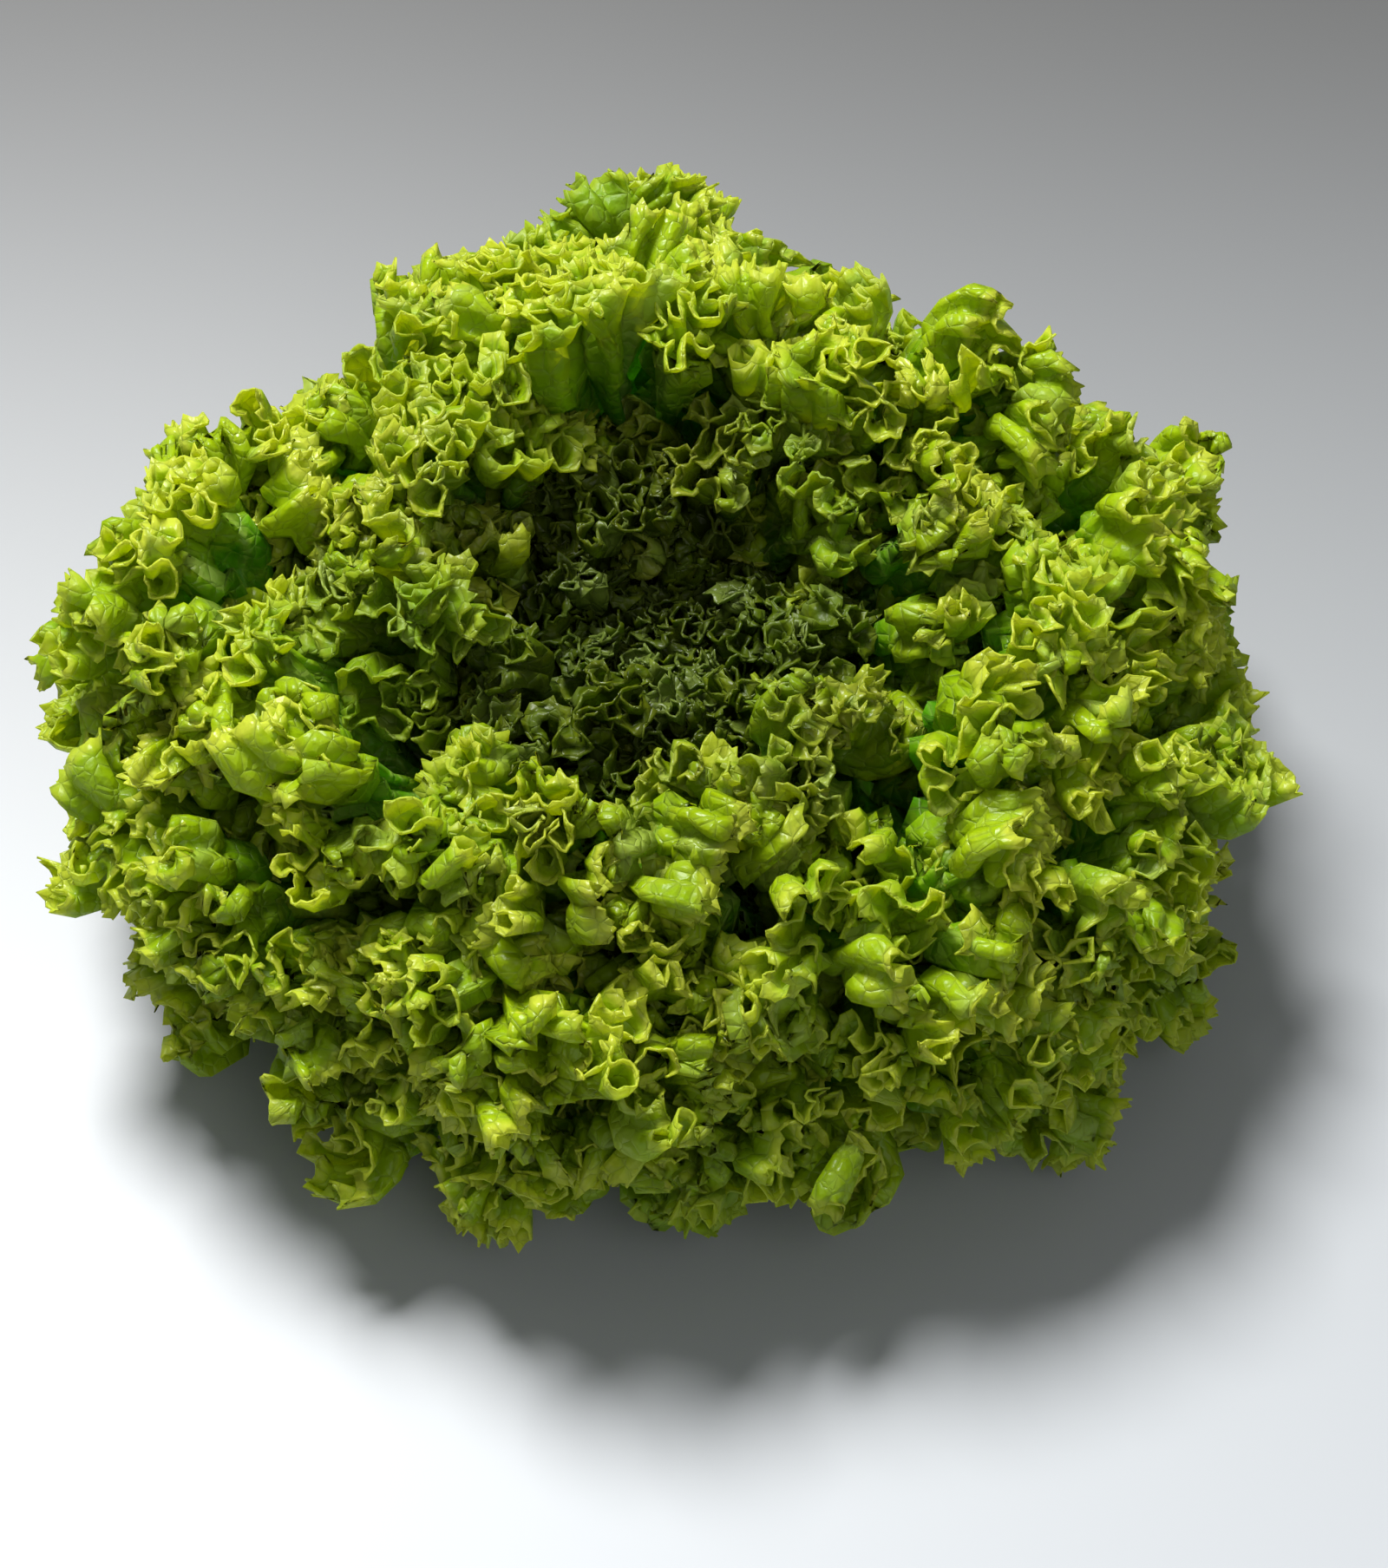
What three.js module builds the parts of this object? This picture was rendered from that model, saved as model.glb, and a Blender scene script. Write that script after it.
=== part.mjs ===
// A head of lollo bionda lettuce, cut and standing on its stump.
// Millimetres, +Z up. The origin is the centre of the stump's flat cut face, and the head opens
// towards -Y: its far side (+Y) stands taller.
//
// The head is a short tapered stem with thirteen whorls of three leaves. Every whorl has its own
// curved sheet of space, one inside the next, so that no two leaves meet. A leaf is a thin fan
// with a thick midrib at its back and a pleated margin.
import * as THREE from "three";

// ---- driving dimensions, mm and degrees
const WHORLS = 13;
const LEAVES_PER_WHORL = 3;
const FIRST_AZIMUTH = 211;
const WHORL_TURN = 41.3; // so that no leaf stands over one of the last two whorls
const LENGTH_SWING = 0.06; // how much the lengths of neighbouring leaves differ
const SWING_STEP = 2.4; // radians of that swing from one leaf to the next

const STUMP_CUT_RADIUS = 20.5;
const STUMP_RADIUS = 22;
const STUMP_SHOULDER = 5;
const STUMP_TOP = 49;
const STUMP_TOP_RADIUS = 4.2;
const STUMP_SIDES = 24;
const STUMP_RIM = [1.5, 0.4]; // height of the cut rim, and how far it is inside the widest part
const STUMP_TIP = 2; // height of the growing point above the stem's top
const STUMP_GAP = 0.7; // between the stump and a leaf's foot
const STEEP_GAP = 1.2; // what the gap gains where a leaf stands upright

const LOWEST_LEAF = 4.2; // height at which the outermost whorl leaves the stem
const HIGHEST_LEAF = 45;
const LEAF_LENGTH = 132;
const MIDDLE_LENGTH_GAIN = 70; // leaves of the middle whorls are longer
const HEART_SHORTENING = 0.74; // leaves of the heart are shorter, around a hollow
const HEART_FROM = 0.36; // where the whorls start to shorten, as a share of the way in
const FOOT_ANGLE = [1.5, 84]; // slope at the stem, outermost and innermost
const TIP_ANGLE = [32, 84]; // slope at the margin
const HALF_SPREAD = [50, 44]; // half the angle that a leaf spans, at its foot and margin
const SHOULDER_DROP = 0.16; // how much shorter a leaf is at its sides

const BLADE_THICKNESS = 0.9;
const RIB_THICKNESS = [1.5, 0.3]; // what the midrib adds at the foot, outermost and innermost
const RIB_WIDTH = 0.25; // share of the half blade
const PLEATS_FROM = 0.55; // share of the leaf's length
const PLEAT = [3.6, 1.2]; // the margin's pleats, to each side, outermost and innermost

const HEAD_RADIUS = 150;
const LEAN = 0.26; // the far side stands this much taller, and the near side lower
// The head's outline from above: azimuth in degrees and share of the full radius. The dips are
// the clefts between groups of leaves.
const OUTLINE = [
  [0, 0.91],
  [22, 0.93],
  [45, 0.9],
  [62, 0.78],
  [88, 0.97],
  [112, 0.9],
  [136, 0.72],
  [160, 0.84],
  [185, 0.93],
  [208, 0.87],
  [230, 0.81],
  [255, 0.79],
  [280, 0.78],
  [297, 0.76],
  [314, 0.9],
  [338, 0.89],
];
const OUTLINE_FROM = 40; // the outline is felt from this radius outwards
const OUTLINE_FULL = 130;
const LEAN_FROM = 10;
const LEAN_FULL = 120;
// The inner leaves of the far side bend over the heart.
const ARCH = 40;
const ARCH_HEIGHTS = [65, 140];
const ARCH_NEAR = [0, 70];
const ARCH_FAR = [80, 160];

const COLOURS = {
  outer: 0x7f9f2c,
  middle: 0x93ac34,
  heart: 0xb3bd4e,
  stump: 0xdfe3c0,
};

const { lerp, smoothstep, degToRad, radToDeg, euclideanModulo } = THREE.MathUtils;
const between = (pair, t) => lerp(pair[0], pair[1], t);

// ---- the space that a whorl fills; t runs from 0 at the outermost whorl to 1 at the innermost

const footHeight = (t) => lerp(LOWEST_LEAF, HIGHEST_LEAF, t);

function stumpRadius(z) {
  const share = (z - STUMP_SHOULDER) / (STUMP_TOP - STUMP_SHOULDER);
  return lerp(STUMP_RADIUS, STUMP_TOP_RADIUS, Math.max(0, share));
}

function whorlLength(t) {
  const grown = LEAF_LENGTH + MIDDLE_LENGTH_GAIN * t * (1 - t);
  return grown * (1 - HEART_SHORTENING * smoothstep(t, HEART_FROM, 1));
}

const footAngle = (t) => degToRad(between(FOOT_ANGLE, t));
const tipAngle = (t) => degToRad(between(TIP_ANGLE, t * t));

// The whorl's section is a circular arc: its radius, height and slope at a distance from the stem.
function section(t, distance) {
  const start = footAngle(t);
  const bend = (tipAngle(t) - start) / whorlLength(t) + 1e-7;
  const slope = start + bend * distance;
  const foot = stumpRadius(footHeight(t)) + STUMP_GAP + STEEP_GAP * Math.sin(start);
  return {
    radius: foot + (Math.sin(slope) - Math.sin(start)) / bend,
    height: footHeight(t) - (Math.cos(slope) - Math.cos(start)) / bend,
    slope,
  };
}

// ---- the head's own shape: lobes seen from above, the lean and the arch over the heart

function outlineShare(azimuth) {
  const a = euclideanModulo(radToDeg(azimuth), 360);
  let i = OUTLINE.length - 1;
  while (OUTLINE[i][0] > a) i -= 1;
  const [from, here] = OUTLINE[i];
  const [to, next] = i + 1 < OUTLINE.length ? OUTLINE[i + 1] : [360, OUTLINE[0][1]];
  return lerp(here, next, smoothstep(a, from, to));
}

function shapeHead(p) {
  const r = Math.hypot(p.x, p.y);
  const share = outlineShare(Math.atan2(p.y, p.x));
  const scale = lerp(1, share, smoothstep(r, OUTLINE_FROM, OUTLINE_FULL));
  const lean = (LEAN * p.y) / HEAD_RADIUS * smoothstep(r, LEAN_FROM, LEAN_FULL);
  p.set(p.x * scale, p.y * scale, p.z * (1 + lean));
  const place = smoothstep(p.y, ...ARCH_NEAR) * (1 - smoothstep(p.y, ...ARCH_FAR));
  p.y -= ARCH * place * smoothstep(p.z, ...ARCH_HEIGHTS);
  return p;
}

// ---- pieces

// A box whose far face is split into triangles along the same diagonals as its near face. The two
// then stay parallel when the box is bent thin.
function slabGeometry(columns, rows) {
  const box = new THREE.BoxGeometry(2, 1, 2, columns, rows, 1);
  const corners = box.index.array;
  const far = box.groups[5];
  for (let i = far.start; i < far.start + far.count; i += 6) {
    const [a, b, d, , c] = corners.slice(i, i + 6);
    corners.set([a, b, c, a, c, d], i);
  }
  return box;
}

// A slab bent into a leaf: x is across the blade, y is from foot to margin, and z is from the
// upper face (-1) to the back (+1).
function leafGeometry(t, azimuth, length, columns, rows) {
  const box = slabGeometry(columns, rows);
  const at = box.getAttribute("position");
  const p = new THREE.Vector3();
  for (let i = 0; i < at.count; i += 1) {
    p.fromBufferAttribute(at, i);
    const across = p.x;
    const along = p.y + 0.5;
    const side = p.z;
    const column = Math.round(((across + 1) / 2) * columns);

    const place = along * (1 - SHOULDER_DROP * across * across * along);
    const { radius, height, slope } = section(t, length * place);
    const angle = azimuth + across * degToRad(between(HALF_SPREAD, along));

    const rib = between(RIB_THICKNESS, t) * (1 - along) * Math.exp(-((across / RIB_WIDTH) ** 2));
    const pleat = between(PLEAT, t) * (column % 2 ? 1 : -1) * smoothstep(along, PLEATS_FROM, 1);
    const half = BLADE_THICKNESS / 2;
    const offset = pleat + (side > 0 ? half + rib : -half); // towards the back
    const r = radius + offset * Math.sin(slope);
    p.set(r * Math.cos(angle), r * Math.sin(angle), height - offset * Math.cos(slope));
    shapeHead(p);
    at.setXYZ(i, p.x, p.y, p.z);
  }
  return box;
}

function stumpGeometry() {
  const profile = [
    [0, 0],
    [STUMP_CUT_RADIUS, 0],
    [STUMP_RADIUS - STUMP_RIM[1], STUMP_RIM[0]],
    [STUMP_RADIUS, STUMP_SHOULDER],
    [STUMP_TOP_RADIUS, STUMP_TOP],
    [0, STUMP_TOP + STUMP_TIP],
  ];
  const points = profile.map(([x, y]) => new THREE.Vector2(x, y));
  const lathe = new THREE.LatheGeometry(points, STUMP_SIDES);
  return lathe.rotateX(Math.PI / 2); // the lathe turns about Y, and the stem stands along Z
}

function material(name, colour) {
  return new THREE.MeshStandardMaterial({ name, color: colour, roughness: 0.45, metalness: 0 });
}

const GROUPS = [
  { name: "outer_leaf", whorls: 4, columns: 12, rows: 5 },
  { name: "middle_leaf", whorls: 5, columns: 12, rows: 5 },
  { name: "heart_leaf", whorls: 4, columns: 8, rows: 4 },
];

const lettuce = new THREE.Group();

const stump = new THREE.Mesh(stumpGeometry(), material("stump", COLOURS.stump));
stump.name = "stem_stump";
lettuce.add(stump);

let whorl = 0;
for (const { name, whorls, columns, rows } of GROUPS) {
  const leafMaterial = material(name, COLOURS[name.split("_")[0]]);
  for (let k = 0; k < whorls * LEAVES_PER_WHORL; k += 1) {
    const index = whorl * LEAVES_PER_WHORL + k;
    const level = Math.floor(index / LEAVES_PER_WHORL);
    const place = index % LEAVES_PER_WHORL;
    const t = level / (WHORLS - 1);
    const azimuth = FIRST_AZIMUTH + level * WHORL_TURN + (place * 360) / LEAVES_PER_WHORL;
    const length = whorlLength(t) * (1 + LENGTH_SWING * Math.sin(SWING_STEP * index));
    const geometry = leafGeometry(t, degToRad(azimuth), length, columns, rows);
    const leaf = new THREE.Mesh(geometry, leafMaterial);
    leaf.name = `${name}_${String(k + 1).padStart(2, "0")}`;
    lettuce.add(leaf);
  }
  whorl += whorls;
}

export default lettuce;
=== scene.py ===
"""A head of lollo bionda lettuce: ruffled leaves around a short stem, standing on its cut stump.

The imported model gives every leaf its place. Here each one gets its real surface: a fan-shaped blade
with a midrib, laterals and blisters, whose margin is ruffled at four sizes, from swags 52 mm long
down to crinkles of 5 mm, and cut into teeth. Lengths are in millimetres until a mesh is made.
"""

from math import cos, pi, radians, sin

import bmesh
import bpy
import numpy as np
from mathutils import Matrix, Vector


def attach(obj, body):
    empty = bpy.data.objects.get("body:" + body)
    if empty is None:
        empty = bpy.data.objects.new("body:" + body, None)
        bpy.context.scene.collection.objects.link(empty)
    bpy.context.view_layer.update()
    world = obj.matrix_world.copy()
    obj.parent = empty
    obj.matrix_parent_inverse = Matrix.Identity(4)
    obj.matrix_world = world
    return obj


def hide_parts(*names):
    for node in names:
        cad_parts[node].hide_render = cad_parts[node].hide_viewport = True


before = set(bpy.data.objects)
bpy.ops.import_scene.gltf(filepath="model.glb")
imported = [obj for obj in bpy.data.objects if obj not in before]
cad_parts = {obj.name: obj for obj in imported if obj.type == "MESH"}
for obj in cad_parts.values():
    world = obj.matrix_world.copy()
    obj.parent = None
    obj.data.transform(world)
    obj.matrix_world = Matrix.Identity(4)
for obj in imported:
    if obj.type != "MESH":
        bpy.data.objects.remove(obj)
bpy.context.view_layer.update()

MM = 0.001

# ---- the head's plan, which repeats the CAD's driving dimensions

WHORLS = 13
LEAVES_PER_WHORL = 3
FIRST_AZIMUTH = 211
WHORL_TURN = 41.3
LENGTH_SWING = 0.06
SWING_STEP = 2.4
FIRST_SEED = 100
FULL_FRILL_LENGTH = 120  # leaves shorter than this have smaller ruffles

STUMP_SHOULDER = 5
STUMP_RADIUS = 22
STUMP_TOP = 49
STUMP_TOP_RADIUS = 4.2

LOWEST_LEAF = 4.2
HIGHEST_LEAF = 45
LEAF_LENGTH = 132
MIDDLE_LENGTH_GAIN = 70
HEART_SHORTENING = 0.74
HEART_FROM = 0.36
FOOT_ANGLE = (1.5, 84)
TIP_ANGLE = (32, 84)
HALF_SPREAD = (50, 44)

HEAD_RADIUS = 150
LEAN = 0.26
OUTLINE = [
    (0, 0.91), (22, 0.93), (45, 0.9), (62, 0.78), (88, 0.97), (112, 0.9), (136, 0.72),
    (160, 0.84), (185, 0.93), (208, 0.87), (230, 0.81), (255, 0.79), (280, 0.78), (297, 0.76),
    (314, 0.9), (338, 0.89), (360, 0.91),
]
OUTLINE_FROM, OUTLINE_FULL = 40, 130
LEAN_FROM, LEAN_FULL = 10, 120
ARCH = 40
ARCH_HEIGHTS = (65, 140)
ARCH_NEAR = (0, 70)
ARCH_FAR = (80, 160)

SHADED_WHORLS = (0.5, 0.85)  # painted shade: towards the heart the leaves are darkened, standing in for the shade in the hollow

GROUPS = {"outer_leaf": 4, "middle_leaf": 5, "heart_leaf": 4}  # whorls in each

# ---- the blade

FOOT_SINK = 2.0  # how far a leaf's foot is grown into the stem
SPINE_SHARE = 0.52  # the midrib runs this share of the leaf's length before it fans out
FOOT_SHARE = 0.05  # where the blade's sides start
OUTLINE_POWER = 2.7  # 2 is an ellipse, and more is squarer
BLADE_THICKNESS = 0.5
RIB_THICKNESS = 3.0

# Rows of the blade's net by their distance from the margin, on a ray of 75 mm. From each row in
# BAND_STARTS outwards the net has twice the columns.
RAY = 75
ROWS = [75, 62, 50, 39.5, 31, 24, 18.5, 14, 10.5, 7.7, 5.4, 3.4, 1.6, 0]
BAND_STARTS = (5, 9, 12)
RUN_COLUMNS = 2400  # the blade is first worked out on this many, then thinned
COLUMN_STEP = 1.58  # between columns along the ruffled margin
FOOT_DENSITY = 0.3  # share of the columns near the foot, which other leaves hide

# ---- the stem

CUT_RADIUS = 20.5
CUT_HOLLOW = 0.5  # how far the cut face has shrunk in at its middle
STEM_SIDES = 96
STEM_STEP = 1.1
SCAR_SWELL = 0.9
SCAR_HEIGHT = 1.3
SCAR_DROOP = 26  # degrees from a leaf's middle at which its base is 1 mm lower

# ---- the ruffles: wave length, height, how far in they reach, and how much the folds overhang



def ruffles(wave, height, reach, fade, overhang, vary, drift):
    return dict(wave=wave, height=height, reach=reach, fade=fade, overhang=overhang, vary=vary, drift=drift)


SWAGS = ruffles(52, 14.0, reach=85, fade=1.5, overhang=0.05, vary=0.4, drift=0.6)
FOLDS = ruffles(21, 8.5, reach=60, fade=1.35, overhang=0.08, vary=0.45, drift=1.2)
FRILLS = ruffles(9.5, 3.3, reach=32, fade=1.3, overhang=0.08, vary=0.5, drift=2.0)
CRINKLES = ruffles(4.6, 0.7, reach=5, fade=1.0, overhang=0.0, vary=0.6, drift=0.0)
CURL_WIDTH = 6
CURL_ANGLE = 1.0  # radians
LOWEST_POINT = 0.6  # no leaf reaches below this height
TOOTH_HEIGHT = 3.0
TOOTH_COLUMNS = (2, 5)  # columns from one tooth to the next
TOOTH_HALF_WIDTH = 1.6  # in columns
PUCKERS = {"wave": 14, "height": 2.4}
BLISTERS = {"wave": 6.5, "height": 0.6}


def smoothstep(x, low, high):
    x = np.clip((np.asarray(x, float) - low) / (high - low), 0, 1)
    return x * x * (3 - 2 * x)


def mix(low, high, share):
    return low + (high - low) * share


def unit(vectors):
    length = np.linalg.norm(vectors, axis=-1, keepdims=True)
    return vectors / np.maximum(length, 1e-9)


# ---- the space of a whorl; t runs from 0 at the outermost to 1 at the innermost


def foot_height(t):
    return mix(LOWEST_LEAF, HIGHEST_LEAF, t)


def stump_radius(z):
    share = (z - STUMP_SHOULDER) / (STUMP_TOP - STUMP_SHOULDER)
    return mix(STUMP_RADIUS, STUMP_TOP_RADIUS, max(0, share))


def whorl_length(t):
    grown = LEAF_LENGTH + MIDDLE_LENGTH_GAIN * t * (1 - t)
    return grown * (1 - HEART_SHORTENING * float(smoothstep(t, HEART_FROM, 1)))


def section(t, distance):
    """Radius and height at a distance from the stem, along the whorl's curved section."""
    start = radians(mix(*FOOT_ANGLE, t))
    bend = (radians(mix(*TIP_ANGLE, t * t)) - start) / whorl_length(t) + 1e-7
    slope = start + bend * distance
    radius = stump_radius(foot_height(t)) + (np.sin(slope) - sin(start)) / bend
    height = foot_height(t) - (np.cos(slope) - cos(start)) / bend
    return radius, height


def shape_head(points):
    """The clefts and lobes of the head seen from above, its lean, and the arch over the heart."""
    x, y, z = points[..., 0], points[..., 1], points[..., 2]
    r = np.hypot(x, y)
    azimuth = np.degrees(np.arctan2(y, x)) % 360
    angles = np.array([a for a, _ in OUTLINE])
    shares = np.array([s for _, s in OUTLINE])
    i = np.clip(np.searchsorted(angles, azimuth, side="right") - 1, 0, len(OUTLINE) - 2)
    along = smoothstep((azimuth - angles[i]) / (angles[i + 1] - angles[i]), 0, 1)
    scale = mix(1, mix(shares[i], shares[i + 1], along), smoothstep(r, OUTLINE_FROM, OUTLINE_FULL))
    lean = LEAN * y / HEAD_RADIUS * smoothstep(r, LEAN_FROM, LEAN_FULL)
    x, y, z = x * scale, y * scale, z * (1 + lean)
    place = smoothstep(y, *ARCH_NEAR) * (1 - smoothstep(y, *ARCH_FAR))
    return np.stack([x, y - ARCH * place * smoothstep(z, *ARCH_HEIGHTS), z], -1)


# ---- waves along a margin


def wander(rng, s, wave):
    """A smooth random curve between about -1 and 1 that changes over the given length."""
    total = np.zeros_like(s)
    for _ in range(4):
        total += np.sin(2 * pi * s / (wave * rng.uniform(0.7, 1.8)) + rng.uniform(0, 2 * pi))
    return total / 2.6


def arc_length(points):
    steps = np.linalg.norm(np.diff(points, axis=0), axis=-1)
    return np.concatenate([[0], np.cumsum(steps)])


def phase_along(rng, s, wave, vary):
    """Phase of waves whose own length wanders around the one given."""
    local = wave * np.exp(vary * wander(rng, s, wave * 3))
    turns = np.diff(s) / (0.5 * (local[1:] + local[:-1]))
    return 2 * pi * np.concatenate([[0], np.cumsum(turns)]) + rng.uniform(0, 2 * pi)


def ruffle(rng, points, inset, envelope, form):
    """Folds the blade up and down across its margin, and to and fro along it, so that they overhang."""
    along = unit(np.gradient(points, axis=0))
    outward = unit(np.gradient(points, axis=1))
    normal = unit(np.cross(along, outward))
    along = unit(np.cross(outward, normal))
    s = arc_length(points[:, -1])
    phase = phase_along(rng, s, form["wave"], form["vary"])[:, None]
    phase = phase + form["drift"] * wander(rng, s, form["wave"] * 2)[:, None] * inset / form["reach"]
    height = form["height"] * (1 + form["vary"] * wander(rng, s, form["wave"] * 1.7))[:, None]
    fade = np.clip(1 - inset / form["reach"], 0, 1) ** form["fade"] * envelope
    slack = (1 + 0.8 * wander(rng, s, form["wave"] * 2.3))[:, None]
    side = form["overhang"] * form["wave"] * fade * slack
    lift = height * fade * np.cos(phase)
    return points + normal * lift[..., None] + along * (side * np.sin(2 * phase))[..., None], phase


def scaled(form, height, wave):
    """The same ruffle on a smaller leaf."""
    return dict(form, height=form["height"] * height, wave=form["wave"] * wave, reach=form["reach"] * wave)


def curl(rng, points, inset, envelope, phase):
    """Rolls the last few millimetres of the blade over, one way on a crest and the other in a dip."""
    along = unit(np.gradient(points, axis=0))
    outward = unit(np.gradient(points, axis=1))
    normal = unit(np.cross(along, outward))
    s = arc_length(points[:, -1])
    turn = CURL_ANGLE * (0.6 * np.cos(phase[:, -1]) + 0.8 * wander(rng, s, 17)) * envelope[:, 0]
    bend = np.where(np.abs(turn) < 0.02, 0.02, turn)[:, None] / CURL_WIDTH
    reach = np.clip(CURL_WIDTH - inset, 0, None)
    shift = np.sin(bend * reach) / bend - reach
    lift = (1 - np.cos(bend * reach)) / bend
    # the frame at the start of the curl carries all that lies beyond it
    start = np.argmax(inset < CURL_WIDTH, axis=1) - 1
    rows = np.arange(len(points))
    shift = outward[rows, start][:, None] * shift[..., None]
    return points + shift + normal[rows, start][:, None] * lift[..., None]


def bulge(rng, points, flat, envelope, form):
    """Raises and lowers the blade between its veins, with no direction of its own."""
    along = np.gradient(points, axis=0)
    outward = np.gradient(points, axis=1)
    normal = unit(np.cross(along, outward))
    bumps = np.zeros(flat.shape[:2])
    for _ in range(9):
        angle = rng.uniform(0, pi)
        wave = form["wave"] * rng.uniform(0.75, 1.6)
        direction = np.array([cos(angle), sin(angle)])
        bumps += np.sin(2 * pi * (flat @ direction) / wave + rng.uniform(0, 2 * pi))
    return points + normal * (form["height"] * bumps / 2.2 * envelope)[..., None]


def teeth(rng, columns):
    """The share of a full tooth at each column: sharp points with hollows between them."""
    points = np.cumsum(rng.integers(*TOOTH_COLUMNS, size=columns))
    points = points[points < columns]
    tips = rng.uniform(0.15, 1.0, size=len(points)) ** 1.4
    i = np.arange(columns + 1)
    height = np.zeros(columns + 1)
    for point, tip in zip(points, tips):
        near = np.clip(1 - np.abs(i - point) / TOOTH_HALF_WIDTH, 0, 1) ** 1.5
        height = np.maximum(height, tip * near)
    return height


# ---- one leaf's surface


def blade_edge(across, length):
    """The blade's flat outline, a squared half ellipse from foot to foot, as its side and place."""
    angle = np.abs(across) * pi / 2
    side = np.sign(across) * np.abs(np.sin(angle)) ** (2 / OUTLINE_POWER)
    top = np.clip(np.cos(angle), 0, 1) ** (2 / OUTLINE_POWER)
    return side, length * mix(FOOT_SHARE, 1, top)


def even_steps(distance, count):
    """Fractional places of count + 1 points spread evenly over a running distance."""
    return np.interp(np.linspace(0, distance[-1], count + 1), distance, np.arange(len(distance)))


def taken_at(values, places):
    """Values between the columns of an array."""
    low = np.clip(places.astype(int), 0, len(values) - 2)
    share = (places - low).reshape((-1,) + (1,) * (values.ndim - 1))
    return mix(values[low], values[low + 1], share)


def margin_columns(t, length):
    """Where the columns meet the flat margin, evenly along it."""
    across = np.linspace(-1, 1, 2001)
    side, place = blade_edge(across, length)
    x = side * np.radians(mix(*HALF_SPREAD, place / length)) * section(t, place)[0]
    return taken_at(across, even_steps(arc_length(np.stack([x, place], -1)), RUN_COLUMNS))


def thinned(points, across, *others):
    """Fewer columns, spread evenly along the ruffled margin but wider apart near the foot."""
    steps = np.diff(arc_length(points[:, -1]))
    density = mix(FOOT_DENSITY, 1, smoothstep(1 - np.abs(across[1:]), 0.05, 0.45))
    run = np.concatenate([[0], np.cumsum(steps * density)])
    coarsest = 2 ** len(BAND_STARTS)
    places = even_steps(run, coarsest * round(run[-1] / COLUMN_STEP / coarsest))
    return [taken_at(a, places) for a in (points, across, *others)]


def leaf_surface(leaf):
    """Points of the leaf's net, their flat places and distances from the margin, and their rays."""
    rng = np.random.default_rng(leaf["seed"])
    t, length = leaf["t"], leaf["length"]
    across = margin_columns(t, length)
    margin_side, margin_place = blade_edge(across, length)
    spine_place = SPINE_SHARE * length * (1 - np.abs(across)) ** 0.9

    share = 1 - np.array(ROWS) / RAY
    side = margin_side[:, None] * share
    place = mix(spine_place[:, None], margin_place[:, None], share)
    spread = np.radians(mix(*HALF_SPREAD, place / length))
    sink = FOOT_SINK * (1 - smoothstep(place, 0, 0.2 * length))
    radius, height = section(t, place)
    radius = radius - sink
    turn = radians(leaf["azimuth"]) + side * spread
    points = shape_head(np.stack([radius * np.cos(turn), radius * np.sin(turn), height], -1))
    flat = np.stack([side * spread * radius, place], -1)

    steps = np.linalg.norm(np.diff(points, axis=1), axis=-1)
    ray = steps.sum(axis=1, keepdims=True)
    inset = ray - np.concatenate([np.zeros_like(ray), np.cumsum(steps, axis=1)], axis=1)
    foot_fade = smoothstep(1 - np.abs(across), 0.02, 0.3)[:, None] * np.ones_like(inset)
    loose = foot_fade * smoothstep(place, 0.1 * length, 0.5 * length)
    size = leaf["frill"]

    points, _ = ruffle(rng, points, inset, foot_fade, scaled(SWAGS, size, size))
    points = bulge(rng, points, flat, loose * size, PUCKERS)
    points, _ = ruffle(rng, points, inset, foot_fade, scaled(FOLDS, size, mix(0.6, 1, size)))
    frills = scaled(FRILLS, mix(0.6, 1, size), mix(0.75, 1, size))
    points, phase = ruffle(rng, points, inset, foot_fade, frills)
    points = curl(rng, points, inset, foot_fade, phase)
    points, _ = ruffle(rng, points, inset, foot_fade, CRINKLES)
    points = bulge(rng, points, flat, loose * smoothstep(inset, -8, 6), BLISTERS)

    points, across, flat, inset, foot_fade = thinned(points, across, flat, inset, foot_fade)
    outward = unit(points[:, -1] - points[:, -3])
    tooth = (TOOTH_HEIGHT * teeth(rng, len(points) - 1) * foot_fade[:, 0])[:, None] * outward
    points[:, -1] += tooth
    points[..., 2] = np.maximum(points[..., 2], LOWEST_POINT)
    return points, flat, inset, across


def leaf_net(columns):
    """A flat net of squares, numbered by column and row, with more columns in each band further out."""
    rows = len(ROWS) - 1
    coarse = columns // 2 ** len(BAND_STARTS)
    net = bmesh.new()
    bmesh.ops.create_grid(net, x_segments=coarse, y_segments=rows, size=0.5)
    bmesh.ops.translate(net, verts=net.verts, vec=(0.5, 0.5, 0))
    bmesh.ops.scale(net, verts=net.verts, vec=(columns, rows, 1))
    for start in BAND_STARTS:
        across = [e for e in net.edges if min(v.co.y for v in e.verts) > start + 0.5
                  and abs(e.verts[0].co.y - e.verts[1].co.y) < 0.5]
        bmesh.ops.subdivide_edges(net, edges=across, cuts=1, use_grid_fill=True, use_single_edge=True)
    return net


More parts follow.
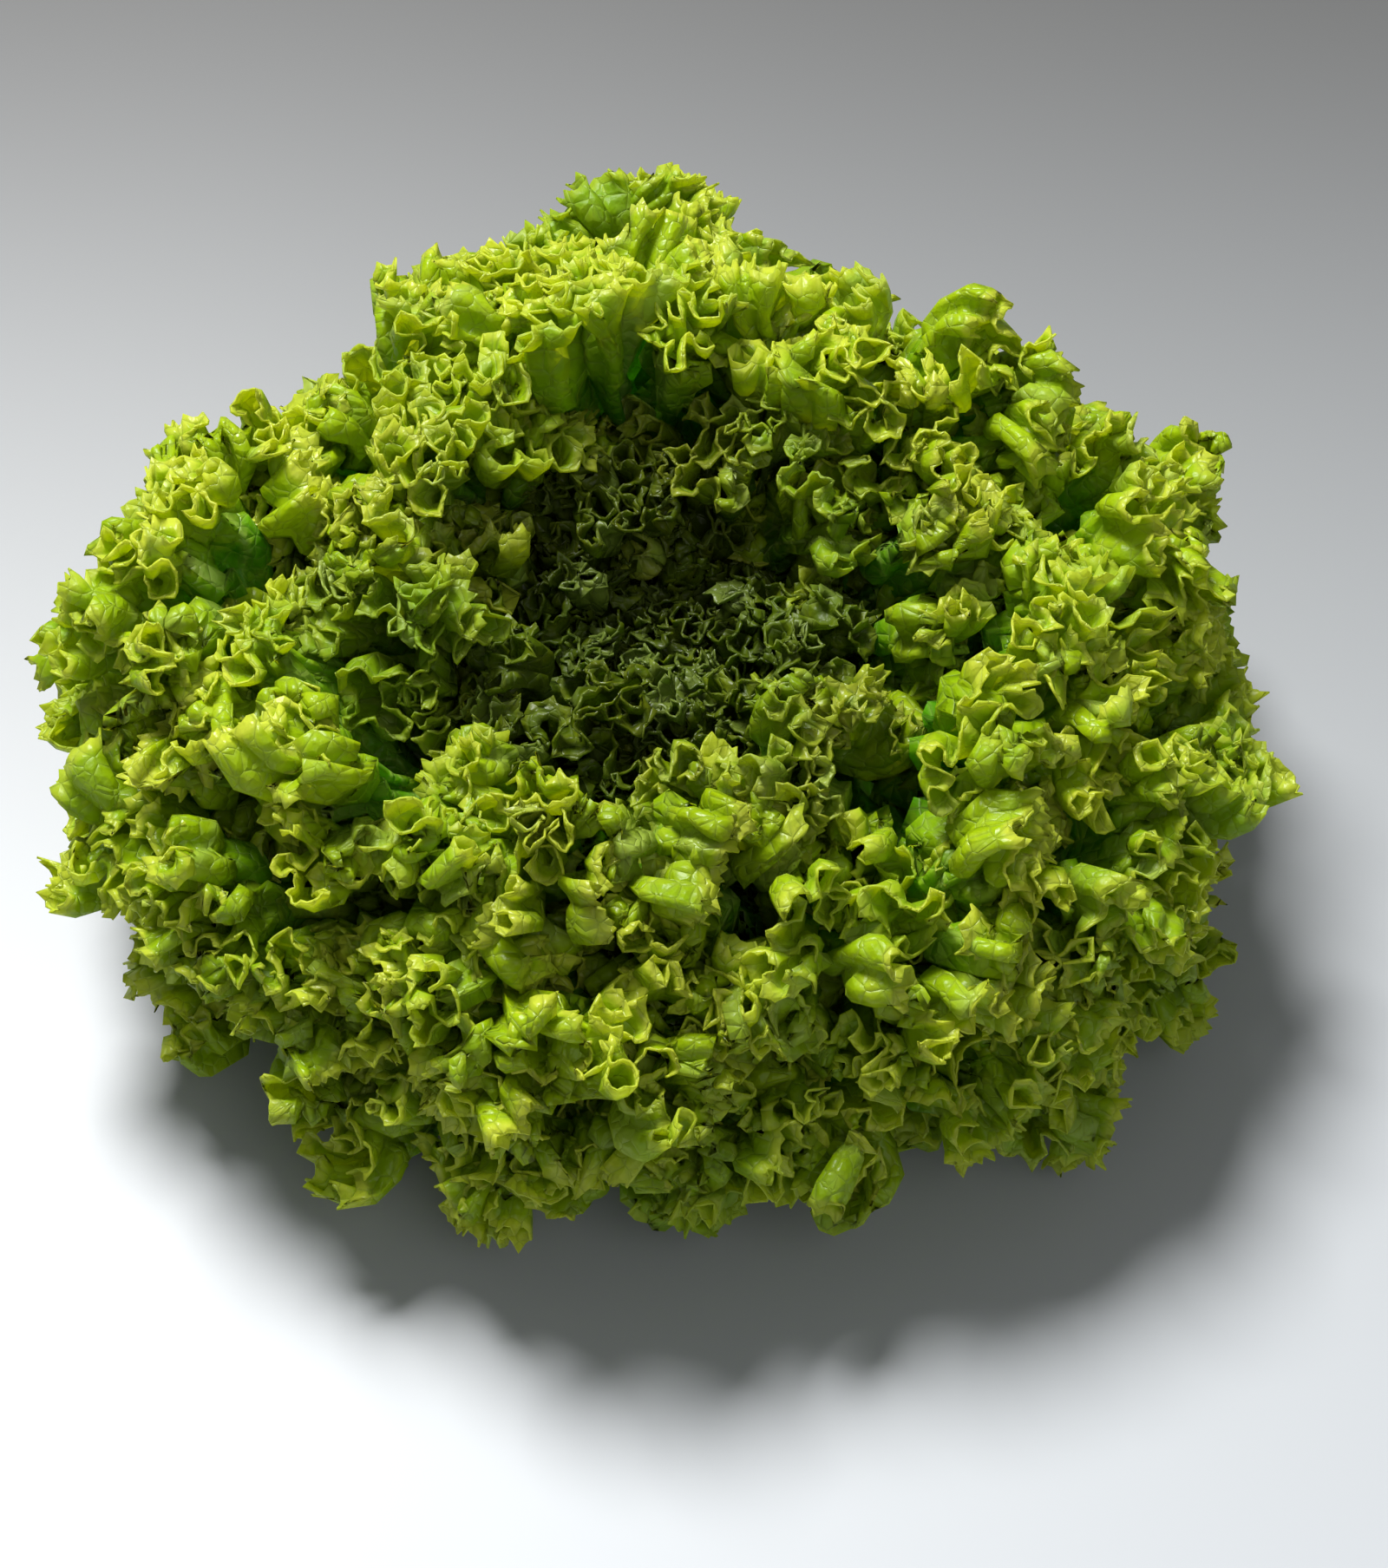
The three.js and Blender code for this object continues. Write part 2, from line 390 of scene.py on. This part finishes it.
def build_leaf(leaf, material):
    points, flat, inset, across = leaf_surface(leaf)
    net = leaf_net(len(points) - 1)
    thickness = net.verts.layers.deform.verify()
    margin_mm = net.verts.layers.float.new("margin_mm")
    fan = net.verts.layers.float.new("fan")
    # share of painted shade, which darkens leaves towards the heart
    inner = net.verts.layers.float.new("inner")
    blade = net.verts.layers.float_vector.new("blade_mm")
    spine = []
    for v in net.verts:
        i, j = round(v.co.x), round(v.co.y)
        v.co = Vector(points[i, j]) * MM
        x, y = flat[i, j]
        rib_width = 3.5 - 2 * min(1, y / leaf["length"])
        rib = np.exp(-(x / rib_width) ** 2) * max(0, 1 - y / (0.8 * leaf["length"]))
        v[thickness][0] = float(min(1, 0.02 + rib * leaf["frill"]))
        v[margin_mm] = float(inset[i, j])
        v[fan] = float(across[i])
        v[inner] = leaf["inner"]
        v[blade] = Vector((x, y, 0))
        if j == 0:
            spine.append(v)
    bmesh.ops.remove_doubles(net, verts=spine, dist=1e-5)
    mesh = bpy.data.meshes.new(leaf["name"])
    for face in net.faces:
        face.smooth = True
    net.to_mesh(mesh)
    net.free()
    piece = bpy.data.objects.new("ruffled_" + leaf["name"], mesh)
    bpy.context.scene.collection.objects.link(piece)
    piece.vertex_groups.new(name="thickness")
    wall = piece.modifiers.new("wall", "SOLIDIFY")
    wall.thickness = RIB_THICKNESS * MM
    wall.offset = 0
    wall.vertex_group = "thickness"
    wall.thickness_vertex_group = BLADE_THICKNESS / RIB_THICKNESS
    mesh.materials.append(material)
    return piece


def plan_leaves():
    leaves = []
    level = 0
    for group, whorls in GROUPS.items():
        for k in range(whorls * LEAVES_PER_WHORL):
            index = level * LEAVES_PER_WHORL + k
            whorl, place = divmod(index, LEAVES_PER_WHORL)
            t = whorl / (WHORLS - 1)
            length = whorl_length(t) * (1 + LENGTH_SWING * sin(SWING_STEP * index))
            leaves.append({
                "name": f"{group}_{k + 1:02d}",
                "group": group,
                "seed": FIRST_SEED + index,
                "t": t,
                "length": length,
                "azimuth": FIRST_AZIMUTH + whorl * WHORL_TURN + place * 360 / LEAVES_PER_WHORL,
                "frill": min(1, length / FULL_FRILL_LENGTH),
                "inner": float(smoothstep(t, *SHADED_WHORLS)),
            })
        level += whorls
    return leaves


# ---- the stem


def stem_profile():
    """Radius and height from the middle of the cut face to the growing point."""
    face = [(r, CUT_HOLLOW * (1 - (r / CUT_RADIUS) ** 2)) for r in np.linspace(0, CUT_RADIUS, 9)]
    rim = [(CUT_RADIUS + 0.6, 0.35), (STUMP_RADIUS - 0.5, 1.4), (STUMP_RADIUS - 0.1, 3)]
    heights = np.arange(STUMP_SHOULDER, STUMP_TOP + 0.1, STEM_STEP)
    side = [(stump_radius(z), z) for z in heights]
    return face + rim + side + [(0.55 * STUMP_TOP_RADIUS, STUMP_TOP + 1.4), (0, STUMP_TOP + 2)]


def build_stem(leaves, material):
    """The stem turned from its profile, with the swollen base of every leaf standing out."""
    net = bmesh.new()
    profile = [net.verts.new((r, 0, z)) for r, z in stem_profile()]
    edges = [net.edges.new(pair) for pair in zip(profile, profile[1:])]
    bmesh.ops.spin(net, geom=profile + edges, cent=(0, 0, 0), axis=(0, 0, 1), angle=2 * pi,
                   steps=STEM_SIDES, use_merge=True)
    bmesh.ops.remove_doubles(net, verts=net.verts, dist=1e-4)
    bmesh.ops.recalc_face_normals(net, faces=net.faces)
    for v in net.verts:
        r = np.hypot(v.co.x, v.co.y)
        if v.co.z < STUMP_SHOULDER / 2 or r < 1:
            continue
        azimuth = np.degrees(np.arctan2(v.co.y, v.co.x))
        swell = 0.0
        for leaf in leaves:
            off = (azimuth - leaf["azimuth"] + 180) % 360 - 180
            rise = (v.co.z - foot_height(leaf["t"]) + (off / SCAR_DROOP) ** 2) / SCAR_HEIGHT
            swell = max(swell, float(np.exp(-rise * rise) * (1 - smoothstep(abs(off), 25, 55))))
        v.co += Vector((v.co.x, v.co.y, 0)) / r * SCAR_SWELL * swell
    bmesh.ops.scale(net, verts=net.verts, vec=(MM, MM, MM))
    for face in net.faces:
        face.smooth = True
    mesh = bpy.data.meshes.new("cut_stem")
    net.to_mesh(mesh)
    net.free()
    mesh.materials.append(material)
    piece = bpy.data.objects.new("cut_stem", mesh)
    bpy.context.scene.collection.objects.link(piece)
    return piece


# ---- materials


def new_material(name):
    material = bpy.data.materials.new(name)
    material.use_nodes = True
    material.node_tree.nodes.clear()
    return material


class Tree:
    """Short names for the nodes and links of one node tree."""

    def __init__(self, tree):
        self.tree = tree

    def add(self, kind, inputs=(), **settings):
        node = self.tree.nodes.new("ShaderNode" + kind)
        for name, value in settings.items():
            setattr(node, name, value)
        for name, value in dict(inputs).items():
            if isinstance(value, bpy.types.NodeSocket):
                self.tree.links.new(value, node.inputs[name])
            else:
                node.inputs[name].default_value = value
        return node

    def math(self, operation, a, b=0.0, clamp=False):
        return self.add("Math", {0: a, 1: b}, operation=operation, use_clamp=clamp).outputs[0]

    def blend(self, share, a, b):
        node = self.add("Mix", data_type="RGBA")
        for name, value in ((0, share), (6, a), (7, b)):
            if isinstance(value, bpy.types.NodeSocket):
                self.tree.links.new(value, node.inputs[name])
            else:
                node.inputs[name].default_value = value
        return node.outputs[2]

    def place_group(self, group, inputs):
        return self.add("Group", inputs, node_tree=group)

    def rise(self, value, low, high):
        """0 below low and 1 above high."""
        node = self.add("MapRange", {"Value": value, "From Min": low, "From Max": high})
        return node.outputs["Result"]


def new_group(name, inputs, outputs):
    group = bpy.data.node_groups.new(name, "ShaderNodeTree")
    for label, kind in inputs.items():
        group.interface.new_socket(label, in_out="INPUT", socket_type="NodeSocket" + kind)
    for label, kind in outputs.items():
        group.interface.new_socket(label, in_out="OUTPUT", socket_type="NodeSocket" + kind)
    tree = Tree(group)
    return group, tree, tree.tree.nodes.new("NodeGroupInput"), tree.tree.nodes.new("NodeGroupOutput")


def vein_group():
    """Midrib and laterals, drawn on the flat blade, and the fine net between them."""
    group, tree, given, result = new_group(
        "leaf_veins",
        {"Place": "Vector", "Blade": "Vector", "Fan": "Float", "Laterals": "Float",
         "Rib Width": "Float", "Net Size": "Float"},
        {"Ribs": "Float", "Net": "Float", "Pillows": "Float"},
    )
    flat = tree.add("SeparateXYZ", {"Vector": given.outputs["Blade"]})
    off_rib = tree.math("ABSOLUTE", flat.outputs["X"])
    narrowing = tree.math("SUBTRACT", 1.0, tree.math("MULTIPLY", flat.outputs["Y"], 0.006), clamp=True)
    rib_width = tree.math("MULTIPLY", given.outputs["Rib Width"], narrowing)
    off_midrib = tree.rise(off_rib, tree.math("MULTIPLY", rib_width, 0.5), rib_width)
    midrib = tree.math("SUBTRACT", 1.0, off_midrib)
    wobble = tree.add("TexNoise", {"Vector": given.outputs["Blade"], "Scale": 0.05, "Detail": 1.0})
    fan = tree.math("MULTIPLY", given.outputs["Fan"], given.outputs["Laterals"])
    fan = tree.math("ADD", fan, tree.math("MULTIPLY", wobble.outputs["Fac"], 1.6))
    off_lateral = tree.math("ABSOLUTE", tree.math("SUBTRACT", tree.math("FRACT", fan), 0.5))
    lateral = tree.math("SUBTRACT", 1.0, tree.rise(off_lateral, 0.015, 0.07))
    ribs = tree.math("MAXIMUM", midrib, tree.math("MULTIPLY", lateral, 0.75))
    scale = tree.math("DIVIDE", 1.0, given.outputs["Net Size"])
    cells = tree.add("TexVoronoi", {"Vector": given.outputs["Place"], "Scale": scale},
                     feature="DISTANCE_TO_EDGE")
    net = tree.math("SUBTRACT", 1.0, tree.rise(cells.outputs["Distance"], 0.0, 0.12))
    pillows = tree.math("POWER", tree.rise(cells.outputs["Distance"], 0.0, 0.45), 0.6)
    for label, value in {"Ribs": ribs, "Net": net, "Pillows": pillows}.items():
        tree.tree.links.new(value, result.inputs[label])
    return group


def tissue_group():
    """Mottles a leaf's colour, lightens its veins, and gives its gloss and its blistered relief."""
    group, tree, given, result = new_group(
        "leaf_tissue",
        {"Place": "Vector", "Skin": "Color", "Dull Skin": "Color", "Bright Skin": "Color",
         "Vein": "Color", "Ribs": "Float", "Net": "Float", "Pillows": "Float"},
        {"Colour": "Color", "Roughness": "Float", "Relief": "Float"},
    )
    place = given.outputs["Place"]
    patches = tree.add("TexNoise", {"Vector": place, "Scale": 26.0, "Detail": 3.0}).outputs["Fac"]
    spots = tree.add("TexNoise", {"Vector": place, "Scale": 160.0, "Detail": 2.0}).outputs["Fac"]
    skin = tree.blend(tree.rise(patches, 0.45, 0.75), given.outputs["Skin"], given.outputs["Dull Skin"])
    skin = tree.blend(tree.rise(spots, 0.54, 0.8), skin, given.outputs["Bright Skin"])
    skin = tree.blend(tree.math("MULTIPLY", given.outputs["Net"], 0.3), skin, given.outputs["Vein"])
    skin = tree.blend(tree.math("MULTIPLY", given.outputs["Ribs"], 0.7), skin, given.outputs["Vein"])

    gloss = tree.add("MapRange", {"Value": patches, "From Min": 0.3, "From Max": 0.7,
                                  "To Min": 0.24, "To Max": 0.5})
    crimps = tree.add("TexNoise", {"Vector": place, "Scale": 330.0, "Detail": 2.0}).outputs["Fac"]
    pillows = tree.math("MULTIPLY", given.outputs["Pillows"], 0.7)
    relief = tree.math("ADD", pillows, tree.math("MULTIPLY", crimps, 0.6))
    relief = tree.math("ADD", relief, tree.math("MULTIPLY", given.outputs["Ribs"], 0.6))
    for label, value in {"Colour": skin, "Roughness": gloss.outputs["Result"], "Relief": relief}.items():
        tree.tree.links.new(value, result.inputs[label])
    return group


def colours_by_inset(tree, inset, stops):
    """A colour ramp over the distance from the margin, in millimetres."""
    widest = stops[-1][0]
    ramp = tree.add("ValToRGB", {"Fac": tree.rise(inset, 0.0, widest)})
    for _ in stops[2:]:
        ramp.color_ramp.elements.new(0.5)
    for element, (distance, colour) in zip(ramp.color_ramp.elements, stops):
        element.position = distance / widest
        element.color = (*colour, 1)
    return ramp.outputs["Color"]


def leaf_material(name, edge, frill, blade, rib, glow_frill, glow_blade):
    material = new_material(name)
    tree = Tree(material.node_tree)
    inset = tree.add("Attribute", attribute_name="margin_mm").outputs["Fac"]
    place = tree.add("TexCoord").outputs["Object"]
    veins = tree.place_group(VEINS, {
        "Place": place,
        "Blade": tree.add("Attribute", attribute_name="blade_mm").outputs["Vector"],
        "Fan": tree.add("Attribute", attribute_name="fan").outputs["Fac"],
        "Laterals": 7.0, "Rib Width": 3.6, "Net Size": 0.0042,
    })
    inner = tree.add("Attribute", attribute_name="inner").outputs["Fac"]
    by_inset = [(0, edge), (0.7, edge), (1.5, frill), (9, frill), (26, blade)]
    skin = colours_by_inset(tree, inset, by_inset)
    # painted shade: leaves towards the heart are darkened for the shade of the hollow
    skin = tree.blend(tree.math("MULTIPLY", inner, HEART_SHADE_SHARE), skin, (*HEART_SHADE_SKIN, 1))
    tissue = tree.place_group(TISSUE, {
        "Place": place, "Skin": skin, "Dull Skin": (*mix_colours(frill, blade, 0.55), 1),
        "Bright Skin": (*mix_colours(edge, frill, 0.6), 1), "Vein": (*rib, 1),
        "Ribs": veins.outputs["Ribs"], "Net": veins.outputs["Net"], "Pillows": veins.outputs["Pillows"],
    })
    bump = tree.add("Bump", {"Height": tissue.outputs["Relief"], "Strength": 0.85, "Distance": 0.0011})
    body = tree.add("BsdfPrincipled", {
        "Base Color": tissue.outputs["Colour"], "Roughness": tissue.outputs["Roughness"],
        "Normal": bump.outputs["Normal"], "Specular IOR Level": 0.45,
    })
    glow = colours_by_inset(tree, inset, [(0, glow_frill), (9, glow_frill), (26, glow_blade)])
    # painted shade: the light through leaves towards the heart is darkened as well
    glow = tree.blend(tree.math("MULTIPLY", inner, HEART_SHADE_SHARE), glow, (*HEART_SHADE_GLOW, 1))
    through = tree.add("BsdfTranslucent", {"Color": glow, "Normal": bump.outputs["Normal"]})
    both = tree.add("MixShader", {"Fac": 0.46, 1: body.outputs["BSDF"], 2: through.outputs["BSDF"]})
    tree.add("OutputMaterial", {"Surface": both.outputs["Shader"]})
    return material


def mix_colours(a, b, share):
    return tuple(mix(x, y, share) for x, y in zip(a, b))


def stump_material():
    """Pale stem tissue: rings and a browned rim on the cut face, and greener towards the leaves."""
    material = new_material("stump")
    tree = Tree(material.node_tree)
    place = tree.add("TexCoord").outputs["Object"]
    height = tree.add("SeparateXYZ", {"Vector": place}).outputs["Z"]
    from_axis = tree.add("VectorMath", {0: place, 1: (1, 1, 0)}, operation="MULTIPLY")
    radius = tree.add("VectorMath", {0: from_axis.outputs["Vector"]}, operation="LENGTH").outputs["Value"]
    grain = tree.add("TexNoise", {"Vector": place, "Scale": 320.0, "Detail": 4.0}).outputs["Fac"]
    stains = tree.add("TexNoise", {"Vector": place, "Scale": 110.0, "Detail": 3.0}).outputs["Fac"]
    rings = tree.add("TexWave", {"Vector": place, "Scale": 55.0, "Distortion": 2.5, "Detail Scale": 3.0},
                     wave_type="RINGS", rings_direction="Z").outputs["Fac"]
    on_face = tree.math("SUBTRACT", 1.0, tree.rise(height, 0.0006, 0.0025))
    skin = tree.blend(tree.rise(height, 0.002, 0.03), (0.72, 0.74, 0.5, 1), (0.5, 0.62, 0.2, 1))
    skin = tree.blend(tree.rise(grain, 0.35, 0.75), skin, (0.82, 0.82, 0.66, 1))
    rings_on_face = tree.math("MULTIPLY", rings, on_face)
    skin = tree.blend(tree.math("MULTIPLY", rings_on_face, 0.35), skin, (0.6, 0.5, 0.28, 1))
    pith = tree.math("MULTIPLY", tree.math("SUBTRACT", 1.0, tree.rise(radius, 0.006, 0.0085)), on_face)
    skin = tree.blend(tree.math("MULTIPLY", pith, 0.5), skin, (0.84, 0.84, 0.7, 1))
    rust = tree.math("MULTIPLY", tree.rise(radius, 0.0135, 0.0195), on_face)
    rust = tree.math("MULTIPLY", rust, tree.rise(stains, 0.3, 0.6))
    skin = tree.blend(tree.math("MULTIPLY", rust, 0.85), skin, (0.36, 0.16, 0.05, 1))
    relief = tree.math("ADD", grain, tree.math("MULTIPLY", rings, 0.3))
    bump = tree.add("Bump", {"Height": relief, "Strength": 0.6, "Distance": 0.0005})
    gloss = tree.add("MapRange", {"Value": stains, "To Min": 0.35, "To Max": 0.65}).outputs["Result"]
    body = tree.add("BsdfPrincipled", {
        "Base Color": skin, "Roughness": gloss, "Normal": bump.outputs["Normal"],
    })
    tree.add("OutputMaterial", {"Surface": body.outputs["BSDF"]})
    return material


def floor_material():
    """A pale surface, brighter towards the near side: its colour is painted shade that darkens it towards
    the back.
    """
    material = new_material("floor_with_painted_shade")
    tree = Tree(material.node_tree)
    place = tree.add("SeparateXYZ", {"Vector": tree.add("TexCoord").outputs["Object"]})
    far = tree.add("MapRange", {"Value": place.outputs["Y"], "From Min": -0.3, "From Max": 0.42},
                   interpolation_type="SMOOTHSTEP").outputs["Result"]
    # painted shade: the floor's colour darkens towards the back, standing in for the fall-off of the light
    skin = tree.blend(far, (0.56, 0.585, 0.61, 1), (0.08, 0.08, 0.077, 1))
    body = tree.add("BsdfPrincipled", {"Base Color": skin, "Roughness": 0.45})
    tree.add("OutputMaterial", {"Surface": body.outputs["BSDF"]})
    return material


# ---- the head

# painted shade of the hollow: how much and to which colours the leaves towards the heart are darkened
HEART_SHADE_SHARE = 0.9
HEART_SHADE_SKIN = (0.045, 0.075, 0.0015)
HEART_SHADE_GLOW = (0.16, 0.26, 0.008)
VEINS = vein_group()
TISSUE = tissue_group()
FINISHES = {
    "outer_leaf": leaf_material(
        "outer_leaf", edge=(0.66, 0.74, 0.06), frill=(0.34, 0.52, 0.005), blade=(0.09, 0.3, 0.004),
        rib=(0.42, 0.58, 0.12), glow_frill=(0.86, 0.95, 0.02), glow_blade=(0.34, 0.9, 0.02),
    ),
    "middle_leaf": leaf_material(
        "middle_leaf", edge=(0.72, 0.79, 0.07), frill=(0.43, 0.62, 0.006), blade=(0.11, 0.34, 0.004),
        rib=(0.46, 0.6, 0.12), glow_frill=(0.9, 0.96, 0.02), glow_blade=(0.38, 0.92, 0.02),
    ),
    # painted shade: the heart's leaves are coloured darker than the others, standing in for the shade of
    # the hollow
    "heart_leaf": leaf_material(
        "heart_leaf", edge=(0.4, 0.46, 0.02), frill=(0.2, 0.29, 0.003), blade=(0.1, 0.2, 0.003),
        rib=(0.25, 0.34, 0.06), glow_frill=(0.5, 0.6, 0.02), glow_blade=(0.35, 0.6, 0.02),
    ),
}
LEAVES = plan_leaves()
for leaf in LEAVES:
    piece = build_leaf(leaf, FINISHES[leaf["group"]])
    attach(piece, "root")
    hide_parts(leaf["name"])

stem = build_stem(LEAVES, stump_material())
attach(stem, "root")
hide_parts("stem_stump")

# ---- the studio

FLOOR_SIZE = 6.0  # metres, as is all below
AIM = Vector((0.0082, -0.0219, 0.0553))
CAMERA_ELEVATION = radians(56)
CAMERA_DISTANCE = 0.78
LENS = 75.8


def build_floor():
    net = bmesh.new()
    bmesh.ops.create_grid(net, x_segments=1, y_segments=1, size=FLOOR_SIZE / 2)
    mesh = bpy.data.meshes.new("floor")
    net.to_mesh(mesh)
    net.free()
    floor = bpy.data.objects.new("floor", mesh)
    mesh.materials.append(floor_material())
    bpy.context.scene.collection.objects.link(floor)


def aim_at(thing, place, target):
    thing.location = place
    thing.rotation_euler = (Vector(target) - Vector(place)).to_track_quat("-Z", "Y").to_euler()


def area_light(name, place, size, power, colour=(1, 1, 1)):
    data = bpy.data.lights.new(name, "AREA")
    data.shape = "DISK"
    data.size = size
    data.energy = power
    data.color = colour
    light = bpy.data.objects.new(name, data)
    bpy.context.scene.collection.objects.link(light)
    aim_at(light, place, (0, 0, 0.06))


def build_camera():
    data = bpy.data.cameras.new("camera")
    data.lens = LENS
    data.sensor_width = 36
    data.clip_end = 50
    camera = bpy.data.objects.new("camera", data)
    bpy.context.scene.collection.objects.link(camera)
    back = Vector((0, -cos(CAMERA_ELEVATION), sin(CAMERA_ELEVATION)))
    aim_at(camera, AIM + back * CAMERA_DISTANCE, AIM)
    bpy.context.scene.camera = camera


def build_world():
    world = bpy.data.worlds.new("studio")
    world.use_nodes = True
    sky = world.node_tree.nodes["Background"]
    sky.inputs["Color"].default_value = (0.95, 0.97, 1, 1)
    sky.inputs["Strength"].default_value = 0.15
    bpy.context.scene.world = world


bpy.context.scene.view_settings.view_transform = "Standard"
build_floor()
area_light("window", (-0.6, 1.0, 2.1), 0.9, 92)
area_light("fill", (0.6, -1.2, 1.8), 1.4, 5)
build_world()
build_camera()

bpy.context.view_layer.update()
